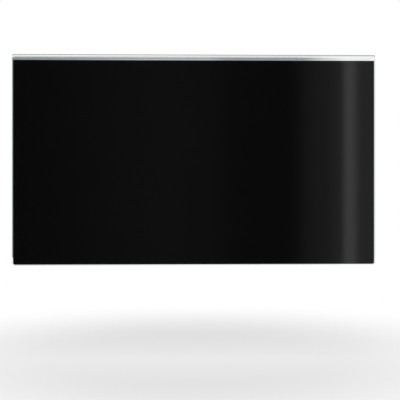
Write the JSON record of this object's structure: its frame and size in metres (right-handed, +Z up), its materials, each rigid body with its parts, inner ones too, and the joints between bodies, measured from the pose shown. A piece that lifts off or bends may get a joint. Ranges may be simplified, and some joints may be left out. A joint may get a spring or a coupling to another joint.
{
  "type": "monitor privacy filter",
  "caption": "Clear acrylic panel with a dark louvre film on its back, bent rearward along its top into a ledge that hangs on a desk monitor, so the screen reads only from straight ahead.",
  "frame": {"origin": "middle of the ledge's flat underside, which rests on the top edge of the monitor", "axes": "+X to the right across the width as the user sees it, +Y from the user towards the monitor, +Z up"},
  "size_m": [0.54, 0.038, 0.314],
  "materials": {
    "clear_acrylic": "polished",
    "louvre_film": "satin"
  },
  "bodies": {
    "root": {"acrylic_panel": "clear_acrylic", "privacy_film": "louvre_film"}
  },
  "joints": []
}
